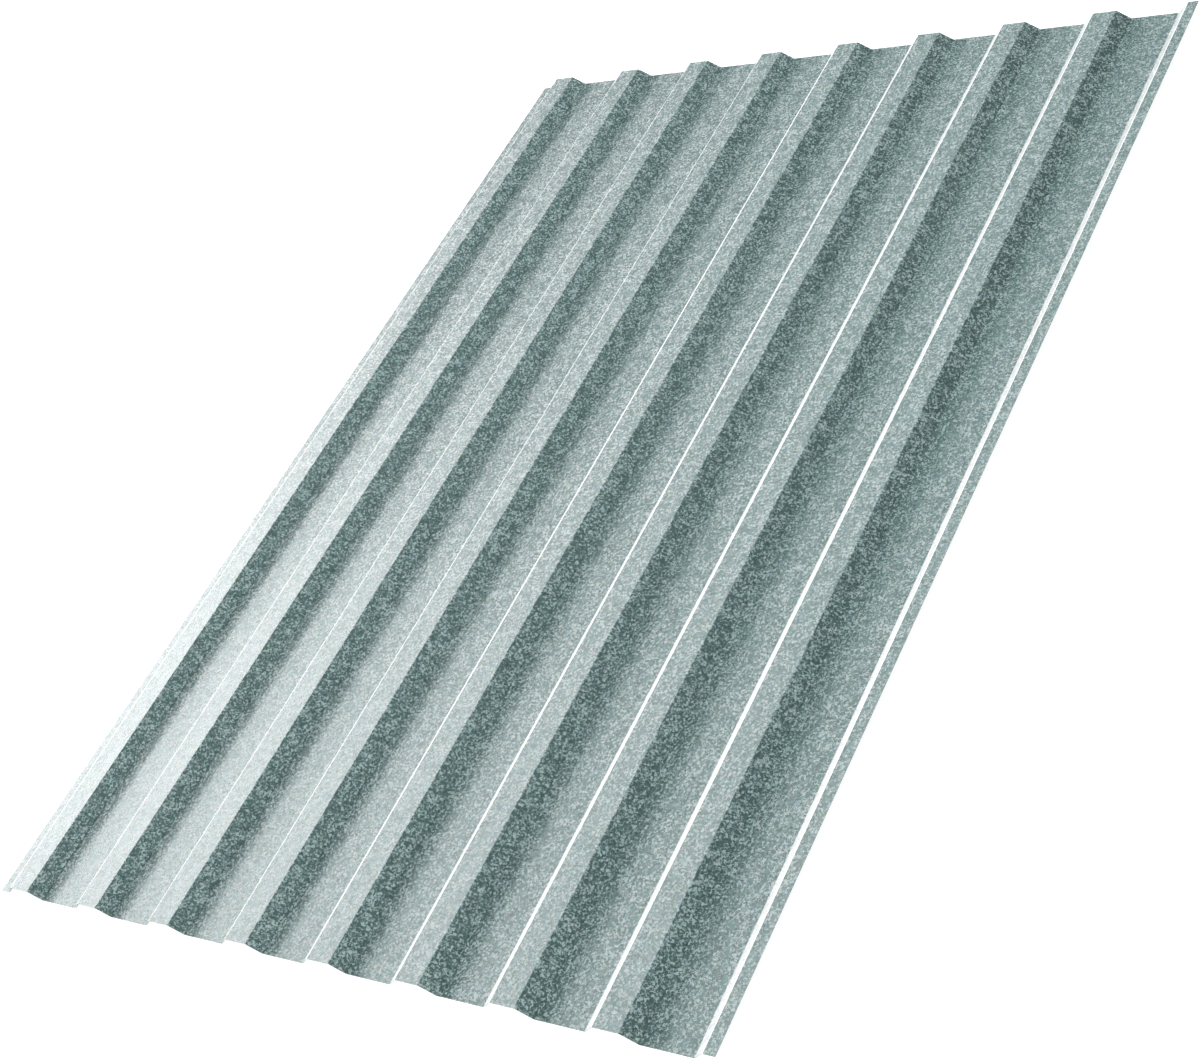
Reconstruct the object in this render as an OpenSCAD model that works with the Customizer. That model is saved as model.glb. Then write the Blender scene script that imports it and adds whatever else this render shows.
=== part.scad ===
// Trapezoidal corrugated roofing and cladding sheet, roll-formed from one flat strip of
// galvanised steel. It lies flat on its troughs with the narrow ribs upward.
// X runs across the ribs, Y along them, and Z is up. The origin is at the centre of the
// sheet's outline, on the plane that the troughs rest on.

/* [Sheet] */
// Length of the sheet along its ribs
sheet_length = 1600; // [500:10:6000]
// Thickness of the strip
strip_thickness = 0.5; // [0.4:0.05:1.2]

/* [Ribs] */
// Number of whole ribs, which one part rib follows at the right edge
rib_count = 8; // [1:1:12]
// Distance from one rib to the next
rib_pitch = 137.5; // [100:0.5:250]
// Height over all, from the underside of the troughs to the top of the ribs
rib_height = 16; // [8:0.5:35]
// Width of the flat on top of a rib, between its corner lines
crest_width = 35; // [20:0.5:70]
// Width that the side of a rib takes up in plan
web_run = 17.5; // [6:0.5:30]
// Radius of the bends, on the inner face of the strip
bend_radius = 1.5; // [0.5:0.1:3]

/* [Side laps] */
// Width of the trough that is left at the left edge, which goes under the next sheet
under_lap_width = 17; // [8:0.5:35]
// Width of the rib top that is left at the right edge, which goes over the next sheet
over_lap_width = 15.5; // [8:0.5:20]

/* [Hidden] */

// Straight steps that stand for the arc of one bend
bend_steps = 5;

// Height of a crest's middle surface above a trough's
web_rise = rib_height - strip_thickness;
half_thickness = strip_thickness / 2;
middle_radius = bend_radius + half_thickness;

// Distances across the sheet from its left edge
first_web = under_lap_width;
last_web = first_web + rib_count * rib_pitch;
sheet_width = last_web + web_run + over_lap_width;

// Corner lines of the middle surface, from left to right, as [x, z]
function rib_corners(x) = [
    [x, 0],
    [x + web_run, web_rise],
    [x + web_run + crest_width, web_rise],
    [x + 2 * web_run + crest_width, 0]
];

corners = concat(
    [[0, 0]],
    [for (i = [0 : rib_count - 1]) each rib_corners(first_web + i * rib_pitch)],
    [[last_web, 0], [last_web + web_run, web_rise], [sheet_width, web_rise]]
);

// Direction of the strip on its way from corner i to the next one
function heading(i) =
    atan2(corners[i + 1][1] - corners[i][1], corners[i + 1][0] - corners[i][0]);

// One face's arc round corner i, side being 1 for the upper face and -1 for the lower.
// The bend's centre lies on the inside of the corner, where the two flats would meet
// if they were both moved in by the middle radius.
function bend(i, side) =
    let (
        turn = heading(i) - heading(i - 1),
        hand = sign(turn),
        middle_heading = (heading(i) + heading(i - 1)) / 2,
        to_centre = middle_radius / cos(turn / 2),
        centre = corners[i] + hand * to_centre * [-sin(middle_heading), cos(middle_heading)],
        radius = middle_radius - hand * side * half_thickness
    )
    [for (step = [0 : bend_steps])
        let (angle = heading(i - 1) + turn * step / bend_steps)
        centre + hand * radius * [sin(angle), -cos(angle)]
    ];

// One whole face of the strip, from the left edge to the right
function face(side) = concat(
    [corners[0] + [0, side * half_thickness]],
    [for (i = [1 : len(corners) - 2]) each bend(i, side)],
    [corners[len(corners) - 1] + [0, side * half_thickness]]
);

function reversed(points) = [for (i = [len(points) - 1 : -1 : 0]) points[i]];

// The strip's section, with the troughs' underside at height 0
module section() {
    translate([-sheet_width / 2, half_thickness])
        polygon(concat(face(-1), reversed(face(1))));
}

module corrugated_sheet() {
    color([0.62, 0.68, 0.68])
        translate([0, sheet_length / 2, 0])
            rotate([90, 0, 0])
                linear_extrude(height = sheet_length)
                    section();
}

corrugated_sheet();
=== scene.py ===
from collections import namedtuple
from math import ceil, cos, dist, pi, radians, sin

import bmesh
import bpy
from mathutils import Matrix, Vector, noise


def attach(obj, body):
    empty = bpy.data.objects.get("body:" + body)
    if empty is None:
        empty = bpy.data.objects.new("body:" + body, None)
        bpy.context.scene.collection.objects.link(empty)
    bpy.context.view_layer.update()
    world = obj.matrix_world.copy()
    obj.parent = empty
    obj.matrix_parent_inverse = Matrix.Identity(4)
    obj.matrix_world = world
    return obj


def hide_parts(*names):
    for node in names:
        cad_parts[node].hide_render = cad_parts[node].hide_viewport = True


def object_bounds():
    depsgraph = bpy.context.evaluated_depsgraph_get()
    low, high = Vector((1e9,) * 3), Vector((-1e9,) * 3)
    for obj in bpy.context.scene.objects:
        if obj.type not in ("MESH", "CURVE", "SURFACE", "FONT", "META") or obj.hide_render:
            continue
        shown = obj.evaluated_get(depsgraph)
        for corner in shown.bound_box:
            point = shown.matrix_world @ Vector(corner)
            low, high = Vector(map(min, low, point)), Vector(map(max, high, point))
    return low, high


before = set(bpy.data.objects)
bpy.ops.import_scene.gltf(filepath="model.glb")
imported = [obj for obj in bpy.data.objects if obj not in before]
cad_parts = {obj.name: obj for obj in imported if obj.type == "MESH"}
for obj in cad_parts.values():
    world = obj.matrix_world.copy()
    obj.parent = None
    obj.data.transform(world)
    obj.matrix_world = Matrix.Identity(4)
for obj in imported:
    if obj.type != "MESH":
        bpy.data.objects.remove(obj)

# The looks of a galvanised corrugated sheet that lies on a pale floor. Lengths are in
# metres, in the frame of the CAD part: X across the ribs, Y along them and Z up.

MM = 0.001
SHEET_NODE = "corrugated_sheet"

cad_lowest, cad_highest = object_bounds()


# --- Camera -----------------------------------------------------------------------

# The point in the middle of the picture, on the plane of the rib tops
VIEW_AIM = Vector((0.0797, -0.1574, cad_highest.z))
VIEW_DISTANCE = 2.6428
VIEW_AZIMUTH = radians(51.738)
VIEW_ELEVATION = radians(37.478)
# The camera is rolled, so that the ribs rise to the right
VIEW_ROLL = radians(34.760)
VIEW_LENS = 63.097
SENSOR_WIDTH = 36.0


def direction(azimuth, elevation):
    """The unit vector to a place at that azimuth, counted from -Y to +X, and elevation."""
    level = cos(elevation)
    return Vector((sin(azimuth) * level, -cos(azimuth) * level, sin(elevation)))


def aimed(place, towards, roll=0.0):
    """The matrix of a camera or light at a place that looks at a point."""
    turn = (place - towards).to_track_quat("Z", "Y").to_matrix().to_4x4()
    return Matrix.Translation(place) @ turn @ Matrix.Rotation(roll, 4, "Z")


def make_camera():
    camera = bpy.data.objects.new("camera", bpy.data.cameras.new("camera"))
    bpy.context.scene.collection.objects.link(camera)
    camera.data.sensor_width = SENSOR_WIDTH
    camera.data.lens = VIEW_LENS
    place = VIEW_AIM + direction(VIEW_AZIMUTH, VIEW_ELEVATION) * VIEW_DISTANCE
    camera.matrix_world = aimed(place, VIEW_AIM, -VIEW_ROLL)
    bpy.context.scene.camera = camera


# --- The sheet's shape --------------------------------------------------------------

# No face on the flats is wider or longer than these
FACE_WIDTH = 9 * MM
FACE_LENGTH = 20 * MM
# A narrow face beside each bend keeps the bend's shading off the flat
GUARD_WIDTH = 1.2 * MM
# How far the flats of a light sheet stray from true, and over what distances
RIPPLE_HEIGHT = 0.25 * MM
RIPPLE_ACROSS = 0.10
RIPPLE_ALONG = 0.24
# A hard light from the left is painted into the zinc: the webs that face right get painted shade,
# and those that face left get a painted highlight.
# How far the painted shade reaches out on the troughs from the webs that face right
PAINTED_SHADE_WIDTH = 26 * MM
# Neighbouring rows that differ more in height than this are on a web or a bend
SLOPE_STEP = 0.02 * MM
# How strong the painted highlight is on the flats of the rising webs and on the ribs' tops,
# where the rising webs' top bends count as 1
PAINTED_HIGHLIGHT_ON_WEBS = 0.3
PAINTED_HIGHLIGHT_ON_RIBS = 0.03
# A painted shade share of more than 1 paints darker shade into the creases at the falling
# webs' feet, and one of less than 0 keeps the painted shade's stray flecks off the ribs' tops
CREASE_PAINTED_SHADE_SHARE = 2.0
UNSHADED_SHARE = -0.6
# The bends lie within this height of the level flats
BEND_HEIGHT = 0.7 * MM
# Edges sharper than this stay crisp: the cut edges do, and the steps of a bend don't
CRISP_ANGLE = radians(40)
# How far along the zinc's pattern the underside starts, so that it isn't the upper face's
UNDERSIDE_SHIFT = 3.0
# Points nearer than this are one point, and a flat that rises less than this is level
SAME_PLACE = 0.01 * MM
# The section's corners are told apart to this many decimals of a metre
PLACE_DECIMALS = 6
# A face is part of the cut end when its normal points along the sheet by more than this
END_FACING = 0.9


# A line that runs along the whole sheet: its points on the lower and upper face, as (x, z),
# and how freely it ripples, from 0 to 1
Row = namedtuple("Row", "low high freedom")


def end_outline(node):
    """The section at the node's low-Y end, as (x, z) points in order round the strip."""
    section = bmesh.new()
    section.from_mesh(node.data)
    bmesh.ops.remove_doubles(section, verts=section.verts, dist=SAME_PLACE)
    section.normal_update()
    end_faces = {face for face in section.faces if face.normal.y < -END_FACING}
    neighbours = {}
    for edge in section.edges:
        if sum(face in end_faces for face in edge.link_faces) != 1:
            continue
        for vertex in edge.verts:
            neighbours.setdefault(vertex, []).append(edge.other_vert(vertex))
    # The walk starts at the lower left corner and goes along the lower face first
    previous = None
    current = min(neighbours, key=lambda vertex: (round(vertex.co.x, PLACE_DECIMALS), vertex.co.z))
    loop = []
    while not loop or current is not loop[0]:
        loop.append(current)
        ahead = [vertex for vertex in neighbours[current] if vertex is not previous]
        previous, current = current, min(ahead, key=lambda vertex: vertex.co.z)
    points = [(vertex.co.x, vertex.co.z) for vertex in loop]
    section.free()
    return points


def divided(lower, upper):
    """The rows from edge to edge, with the flats and webs divided. A row ripples most freely
    in the middle of a level flat, and not at all on a web or a bend."""
    rows = []
    for i in range(len(lower) - 1):
        span = dist(lower[i], lower[i + 1])
        is_level = abs(lower[i][1] - lower[i + 1][1]) < SAME_PLACE
        shares = [0.0]
        if span > FACE_WIDTH:
            guard = GUARD_WIDTH / span
            steps = ceil(span / FACE_WIDTH)
            shares += [guard + (1 - 2 * guard) * step / steps for step in range(steps + 1)]
        for share in shares:
            low = Vector(lower[i]).lerp(Vector(lower[i + 1]), share)
            high = Vector(upper[i]).lerp(Vector(upper[i + 1]), share)
            freedom = sin(pi * share) ** 2 if is_level else 0.0
            rows.append(Row(low, high, freedom))
    rows.append(Row(Vector(lower[-1]), Vector(upper[-1]), 0.0))
    return rows


def ripple(x, y, z, freedom):
    """How far a point of a flat strays, always towards the middle of the sheet's height."""
    wave = noise.noise(Vector((x / RIPPLE_ACROSS, y / RIPPLE_ALONG, 0.0)))
    middle = (cad_lowest.z + cad_highest.z) / 2
    inward = 1.0 if z < middle else -1.0
    return inward * RIPPLE_HEIGHT * (0.5 + 0.5 * wave) * freedom


def strip_lengths(rows):
    """How far along the developed strip each row lies."""
    lengths = [0.0]
    for row, after in zip(rows, rows[1:]):
        step = ((after.low + after.high) - (row.low + row.high)).length / 2
        lengths.append(lengths[-1] + step)
    return lengths


def slope_signs(rows):
    """1 on the webs that climb to the right and their bends, -1 on the falling ones, else 0."""
    signs = []
    for i in range(len(rows)):
        before = rows[max(i - 1, 0)].low.y
        after = rows[min(i + 1, len(rows) - 1)].low.y
        signs.append((after - before > SLOPE_STEP) - (before - after > SLOPE_STEP))
    return signs


def is_at_top(row):
    """Whether a row is on a rib's top or its bends."""
    return cad_highest.z - row.high.y < BEND_HEIGHT


def is_at_foot(row):
    """Whether a row is on a trough or its bends."""
    return row.low.y - cad_lowest.z < BEND_HEIGHT


def painted_shade_shares(rows, signs, lengths):
    """How much painted shade each row gets: 1 on the falling webs, more in the creases at their
    feet, less and less out on the troughs, and under 0 on the ribs' tops."""
    shares = []
    web_end = -PAINTED_SHADE_WIDTH
    for row, sign, length in zip(rows, signs, lengths):
        if sign < 0:
            web_end = length
            shares.append(CREASE_PAINTED_SHADE_SHARE if is_at_foot(row) else 1.0)
        elif is_at_top(row):
            shares.append(UNSHADED_SHARE)
        else:
            fade = 1.0 - (length - web_end) / PAINTED_SHADE_WIDTH
            shares.append(max(0.0, fade) if sign == 0 else 0.0)
    return shares


def painted_highlight_shares(rows, signs):
    """How much painted highlight each row gets: 1 on the rising webs' top bends, less on the
    webs' flats, and very little on the ribs' tops."""
    shares = []
    for row, sign in zip(rows, signs):
        if sign > 0 and not is_at_foot(row):
            shares.append(1.0 if is_at_top(row) else PAINTED_HIGHLIGHT_ON_WEBS)
        else:
            shares.append(PAINTED_HIGHLIGHT_ON_RIBS if sign == 0 and is_at_top(row) else 0.0)
    return shares


def sheet_faces(row_count, ring_count):
    """The closed strip's faces, as (corners, is_cut). A corner is (ring, row, is_upper)."""
    faces = []
    rows = range(row_count - 1)
    rings = range(ring_count - 1)
    last_row = row_count - 1
    last_ring = ring_count - 1
    for j in rings:
        for i in rows:
            lower = [(j, i, 0), (j + 1, i, 0), (j + 1, i + 1, 0), (j, i + 1, 0)]
            upper = [(j, i, 1), (j, i + 1, 1), (j + 1, i + 1, 1), (j + 1, i, 1)]
            faces += [(lower, False), (upper, False)]
        left = [(j, 0, 0), (j, 0, 1), (j + 1, 0, 1), (j + 1, 0, 0)]
        right = [(j, last_row, 0), (j + 1, last_row, 0), (j + 1, last_row, 1), (j, last_row, 1)]
        faces += [(left, True), (right, True)]
    for i in rows:
        near = [(0, i, 0), (0, i + 1, 0), (0, i + 1, 1), (0, i, 1)]
        far = [(last_ring, i, 0), (last_ring, i, 1), (last_ring, i + 1, 1), (last_ring, i + 1, 0)]
        faces += [(near, True), (far, True)]
    return faces


def ring_places():
    """How far along Y each ring of points lies, evenly from end to end."""
    length = cad_highest.y - cad_lowest.y
    last_ring = ceil(length / FACE_LENGTH)
    return [cad_lowest.y + length * ring / last_ring for ring in range(last_ring + 1)]


def sheet_points(rows, places):
    """Each ring's points on the lower face, then those on the upper face."""
    points = []
    for y in places:
        for is_upper in (False, True):
            for row in rows:
                x, z = row.high if is_upper else row.low
                points.append((x, y, z + ripple(x, y, row.low.y, row.freedom)))
    return points


def lay_pattern(mesh, faces, lengths, places):
    """Each face's material and smooth shading, and its place on the developed strip."""
    strip = mesh.uv_layers.new(name="strip")
    for polygon, (corners, is_cut) in zip(mesh.polygons, faces):
        polygon.material_index = int(is_cut)
        polygon.use_smooth = True
        is_underside = not is_cut and not corners[0][2]
        shift = UNDERSIDE_SHIFT if is_underside else 0.0
        for loop, (ring, row, _) in zip(polygon.loop_indices, corners):
            strip.data[loop].uv = (lengths[row], places[ring] + shift)


def lay_painted_shading(mesh, rows, lengths, ring_count):
    """How much painted shade and painted highlight each point gets, for the zinc's shader to read.
    """
    signs = slope_signs(rows)
    painted_shading = {
        "painted_shade": painted_shade_shares(rows, signs, lengths),
        "painted_highlight": painted_highlight_shares(rows, signs),
    }
    for name, shares in painted_shading.items():
        attribute = mesh.attributes.new(name, "FLOAT", "POINT")
        # Each ring has the rows twice, on the lower and on the upper face
        attribute.data.foreach_set("value", shares * 2 * ring_count)


def make_sheet(node, zinc, cut_edge):
    """The whole sheet, drawn through the CAD node's own section along its own length."""
    outline = end_outline(node)
    half = len(outline) // 2
    rows = divided(outline[:half], outline[:half - 1:-1])
    lengths = strip_lengths(rows)
    places = ring_places()

    def number(ring, row, is_upper):
        return (ring * 2 + is_upper) * len(rows) + row

    faces = sheet_faces(len(rows), len(places))
    corner_numbers = [[number(*corner) for corner in corners] for corners, _ in faces]
    mesh = bpy.data.meshes.new("corrugated_sheet_skin")
    mesh.from_pydata(sheet_points(rows, places), [], corner_numbers)
    lay_pattern(mesh, faces, lengths, places)
    lay_painted_shading(mesh, rows, lengths, len(places))
    mesh.set_sharp_from_angle(angle=CRISP_ANGLE)
    mesh.materials.append(zinc)
    mesh.materials.append(cut_edge)
    sheet = bpy.data.objects.new("galvanised_corrugated_sheet", mesh)
    bpy.context.scene.collection.objects.link(sheet)
    return sheet


# --- Materials ----------------------------------------------------------------------

class Shader:
    """A new material, whose nodes are linked by their sockets' names or numbers."""

    def __init__(self, name):
        self.material = bpy.data.materials.new(name)
        self.material.use_nodes = True
        self.tree = self.material.node_tree
        self.surface = self.tree.nodes["Principled BSDF"]

    def put(self, node, socket, value):
        if isinstance(value, bpy.types.NodeSocket):
            self.tree.links.new(value, node.inputs[socket])
        else:
            node.inputs[socket].default_value = value

    def add(self, kind, inputs, **settings):
        node = self.tree.nodes.new("ShaderNode" + kind)
        for name, value in settings.items():
            setattr(node, name, value)
        for socket, value in inputs.items():
            self.put(node, socket, value)
        return node

    def math(self, operation, *values):
        return self.add("Math", dict(enumerate(values)), operation=operation).outputs[0]

    def vectors(self, operation, *values):
        node = self.add("VectorMath", dict(enumerate(values)), operation=operation)
        return node.outputs[0]

    def scaled(self, vector, factor):
        inputs = {"Vector": vector, "Scale": factor}
        return self.add("VectorMath", inputs, operation="SCALE").outputs[0]

    def ranged(self, value, low, high, to_low, to_high):
        inputs = {"Value": value, "From Min": low, "From Max": high}
        inputs |= {"To Min": to_low, "To Max": to_high}
        return self.add("MapRange", inputs, clamp=True).outputs[0]

    def noise(self, vector, size, detail=2.0, roughness=0.5, output="Fac"):
        inputs = {"Vector": vector, "Scale": 1 / size, "Detail": detail, "Roughness": roughness}
        return self.add("TexNoise", inputs, noise_dimensions="2D").outputs[output]

    def mix(self, factor, a, b):
        # The Mix node's colours are its inputs 6 and 7 and its output 2
        return self.add("Mix", {0: factor, 6: a, 7: b}, data_type="RGBA").outputs[2]


# The zinc's crystals, from middle to middle, and how far their outlines wander, and over
# what distance
CRYSTAL_SIZE = 4.0 * MM
CRYSTAL_WARP = 1.4 * MM
WANDER_SIZE = 0.7 * CRYSTAL_SIZE
# The middle of a noise, and how far from it the noise mostly stays
NOISE_MIDDLE = 0.5
NOISE_SWING = 0.25
# A crystal's heart fades out between these distances from its middle, in crystal sizes
HEART_REACH = (0.24, 0.44)
# The flecks inside the crystals and how fine their grain is, and the clouds of brighter and
# darker crystals
FLECK_SIZE = 2.7 * MM
FLECK_DETAIL = 3.0
FLECK_ROUGHNESS = 0.55
CLOUD_SIZE = 18 * MM
# How much each crystal's random number and the clouds add to the grain, and between which
# sums the flecks and the hearts turn matt
CHANCE_WEIGHT = 0.16
CLOUD_WEIGHT = 0.20
FLECK_LEVELS = (0.71, 0.82)
HEART_LEVELS = (0.60, 0.76)
# The ground is dull metal, and the crystals' hearts and the flecks are matt. The painted shade has
# a darker ground and stronger contrast, and the painted highlight is pale all over.
PLAIN_BODY = (0.180, 0.236, 0.234, 1.0)
PLAIN_MATT = (0.39, 0.42, 0.42, 1.0)
PAINTED_SHADE_BODY = (0.118, 0.163, 0.161, 1.0)
PAINTED_SHADE_MATT = (0.41, 0.46, 0.46, 1.0)
PAINTED_HIGHLIGHT_BODY = (0.72, 0.74, 0.74, 1.0)
PAINTED_HIGHLIGHT_MATT = (0.76, 0.78, 0.78, 1.0)
BODY_ROUGHNESS = 0.70
MATT_ROUGHNESS = 0.80
# How dark the painted shade in the creases is, how far the painted shade's border strays with
# the flecks, and between which shares the zinc turns from plain to painted shade
CREASE_PAINTED_SHADE_TONE = 0.8
RAGGEDNESS = 3.2
BORDER_LEVELS = (0.35, 0.65)
# How much the crystals' bodies differ in tone, how much the tint drifts, and over what
# distance
BODY_SPREAD = 0.28
TINT_SPREAD = 0.14
TINT_SIZE = 12 * MM
# The relief of the flecks
RELIEF = 0.10 * MM


def zinc_crystals(shader, strip):
    """Each crystal's random numbers and heart, and the grain of the flecks."""
    reach = CRYSTAL_WARP / NOISE_SWING
    wander = shader.noise(strip, WANDER_SIZE, detail=1.0, output="Color")
    wander = shader.vectors("SUBTRACT", wander, (NOISE_MIDDLE, NOISE_MIDDLE, NOISE_MIDDLE))
    wander = shader.vectors("MULTIPLY", wander, (reach, reach, 0.0))
    warped = shader.vectors("ADD", strip, wander)
    place = {"Vector": warped, "Scale": 1 / CRYSTAL_SIZE}
    crystals = shader.add("TexVoronoi", place, voronoi_dimensions="2D", feature="F1")
    chance = shader.add("SeparateColor", {"Color": crystals.outputs["Color"]}).outputs
    heart = shader.ranged(crystals.outputs["Distance"], *HEART_REACH, 1.0, 0.0)
    grain = shader.noise(warped, FLECK_SIZE, detail=FLECK_DETAIL, roughness=FLECK_ROUGHNESS)
    return chance, heart, grain


def matt_share(shader, strip, chance, heart, grain):
    """The share of matt zinc: high in some crystals' hearts and on the flecks."""
    clouds = shader.noise(strip, CLOUD_SIZE)
    level = shader.math("MULTIPLY_ADD", chance[1], CHANCE_WEIGHT, grain)
    level = shader.math("MULTIPLY_ADD", clouds, CLOUD_WEIGHT, level)
    flecks = shader.ranged(level, *FLECK_LEVELS, 0.0, 1.0)
    hearts = shader.math("MULTIPLY", heart, shader.ranged(level, *HEART_LEVELS, 0.0, 1.0))
    return shader.math("MAXIMUM", flecks, hearts)


def zinc_colour(shader, strip, chance, grain, matt, painted_highlight):
    """The zinc's colour, from its crystals, its painted shade and highlight and a slow drift of the
    tint.
    """
    # Painted shade on the webs that face right and out on the troughs, darkest in the creases
    painted_shading = shader.add("Attribute", {}, attribute_name="painted_shade").outputs["Fac"]
    crease_shade = shader.ranged(painted_shading, 1.0, CREASE_PAINTED_SHADE_SHARE, 1.0, CREASE_PAINTED_SHADE_TONE)
    offset = shader.math("SUBTRACT", NOISE_MIDDLE, grain)
    border = shader.math("MULTIPLY_ADD", offset, RAGGEDNESS, painted_shading)
    painted_shade = shader.ranged(border, *BORDER_LEVELS, 0.0, 1.0)
    body = shader.mix(painted_shade, PLAIN_BODY, PAINTED_SHADE_BODY)
    # The painted highlight makes the webs that face left pale
    body = shader.mix(painted_highlight, body, PAINTED_HIGHLIGHT_BODY)
    spread = shader.ranged(chance[0], 0.0, 1.0, 1 - BODY_SPREAD / 2, 1 + BODY_SPREAD / 2)
    body = shader.scaled(body, spread)
    pale = shader.mix(painted_shade, PLAIN_MATT, PAINTED_SHADE_MATT)
    pale = shader.mix(painted_highlight, pale, PAINTED_HIGHLIGHT_MATT)
    colour = shader.scaled(shader.mix(matt, body, pale), crease_shade)
    least = 1 - TINT_SPREAD / 2
    tint = shader.noise(strip, TINT_SIZE, detail=1.0, output="Color")
    tint = shader.vectors("MULTIPLY_ADD", tint, (TINT_SPREAD, 0.0, TINT_SPREAD), (least, 1.0, least))
    return shader.vectors("MULTIPLY", colour, tint)


def zinc_material():
    """Hot-dip zinc with a small spangle: pale matt crystals and flecks on a dark ground."""
    shader = Shader("galvanised_steel")
    strip = shader.add("UVMap", {}, uv_map="strip").outputs["UV"]
    # The painted highlight on the webs that face left, which is both pale and matt
    painted_highlight = shader.add("Attribute", {}, attribute_name="painted_highlight").outputs["Fac"]
    chance, heart, grain = zinc_crystals(shader, strip)
    matt = matt_share(shader, strip, chance, heart, grain)
    colour = zinc_colour(shader, strip, chance, grain, matt, painted_highlight)
    shader.put(shader.surface, "Base Color", colour)
    # The matt flecks and the painted highlight take the metal away
    matt_and_painted_highlight = shader.math("MAXIMUM", matt, painted_highlight)
    shader.put(shader.surface, "Metallic", shader.math("SUBTRACT", 1.0, matt_and_painted_highlight))
    roughness = shader.ranged(matt, 0.0, 1.0, BODY_ROUGHNESS, MATT_ROUGHNESS)
    shader.put(shader.surface, "Roughness", roughness)
    relief = shader.add("Bump", {"Height": matt, "Strength": 1.0, "Distance": RELIEF})
    shader.put(shader.surface, "Normal", relief.outputs["Normal"])
    return shader.material


# The sheared edge's two tones of steel, its shear lines, and the noise and roughness that
# the lines go between
EDGE_DARK = (0.26, 0.27, 0.28, 1.0)
EDGE_PALE = (0.50, 0.51, 0.52, 1.0)
EDGE_LINE_SIZE = 0.4 * MM
EDGE_LINE_LEVELS = (0.3, 0.7)
EDGE_ROUGHNESS = (0.35, 0.55)


def cut_edge_material():
    """The strip's sheared edge: bare steel with fine shear lines through its thickness."""
    shader = Shader("cut_steel_edge")
    place = shader.add("TexCoord", {}).outputs["Object"]
    # The noise leaves out Z, so its lines stand upright
    lines = shader.noise(place, EDGE_LINE_SIZE)
    shader.put(shader.surface, "Base Color", shader.mix(lines, EDGE_DARK, EDGE_PALE))
    shader.put(shader.surface, "Metallic", 1.0)
    shader.put(shader.surface, "Roughness", shader.ranged(lines, *EDGE_LINE_LEVELS, *EDGE_ROUGHNESS))
    return shader.material


# The floor glows like a light table, which hides the sheet's shadow
FLOOR_COLOUR = (0.50, 0.47, 0.47, 1.0)
FLOOR_ROUGHNESS = 0.9
GLOW_COLOUR = (1.0, 1.0, 1.0, 1.0)
FLOOR_GLOW = 0.8


def floor_material():
    shader = Shader("pale_floor")
    shader.put(shader.surface, "Base Color", FLOOR_COLOUR)
    shader.put(shader.surface, "Roughness", FLOOR_ROUGHNESS)
    shader.put(shader.surface, "Emission Color", GLOW_COLOUR)
    shader.put(shader.surface, "Emission Strength", FLOOR_GLOW)
    return shader.material


# --- Floor and light ----------------------------------------------------------------

# How far the floor reaches each way from the sheet's middle
FLOOR_REACH = 60.0
# The floor lies this far under the troughs, so that no two faces share a place
FLOOR_GAP = 0.2 * MM
# The keys are a little warm, and the fill and the world a little cool, so that the
# metal is almost neutral where it is bright and teal where it is dark
KEY_COLOUR = (1.0, 0.842, 0.856)
FILL_COLOUR = (0.842, 1.0, 0.989)
WORLD_STRENGTH = 0.5


def make_floor():
    z = cad_lowest.z - FLOOR_GAP
    corners = [(-FLOOR_REACH, -FLOOR_REACH, z), (FLOOR_REACH, -FLOOR_REACH, z),
               (FLOOR_REACH, FLOOR_REACH, z), (-FLOOR_REACH, FLOOR_REACH, z)]
    mesh = bpy.data.meshes.new("floor")
    mesh.from_pydata(corners, [], [(0, 1, 2, 3)])
    mesh.materials.append(floor_material())
    floor = bpy.data.objects.new("floor", mesh)
    bpy.context.scene.collection.objects.link(floor)


def make_light(name, azimuth, elevation, distance, size, power, colour):
    """A square soft light that faces the middle of the sheet, with its angles in degrees."""
    light = bpy.data.lights.new(name, "AREA")
    light.size = size
    light.energy = power
    light.color = colour
    lamp = bpy.data.objects.new(name, light)
    bpy.context.scene.collection.objects.link(lamp)
    place = direction(radians(azimuth), radians(elevation)) * distance
    lamp.matrix_world = aimed(place, Vector((0.0, 0.0, 0.0)))


def make_world():
    world = bpy.data.worlds.new("studio")
    world.use_nodes = True
    backdrop = world.node_tree.nodes["Background"]
    backdrop.inputs["Color"].default_value = (*FILL_COLOUR, 1.0)
    backdrop.inputs["Strength"].default_value = WORLD_STRENGTH
    bpy.context.scene.world = world


def make_studio():
    make_floor()
    make_world()
    # All three keys come from the left, so that the webs on the ribs' right stay dark
    make_light("broad_key", azimuth=255, elevation=14, distance=3.5,
               size=0.9, power=147, colour=KEY_COLOUR)
    make_light("crisp_key", azimuth=270, elevation=20, distance=3.5,
               size=0.4, power=88, colour=KEY_COLOUR)
    make_light("near_key", azimuth=285, elevation=28, distance=2.0,
               size=0.35, power=14, colour=KEY_COLOUR)
    make_light("back_fill", azimuth=180, elevation=62, distance=3.0,
               size=1.3, power=45, colour=FILL_COLOUR)
    make_light("front_fill", azimuth=30, elevation=42, distance=3.0,
               size=1.3, power=26, colour=FILL_COLOUR)
    bpy.context.scene.view_settings.view_transform = "Standard"


make_camera()
make_studio()
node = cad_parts[SHEET_NODE]
sheet = make_sheet(node, zinc_material(), cut_edge_material())
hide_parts(SHEET_NODE)
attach(sheet, "root")
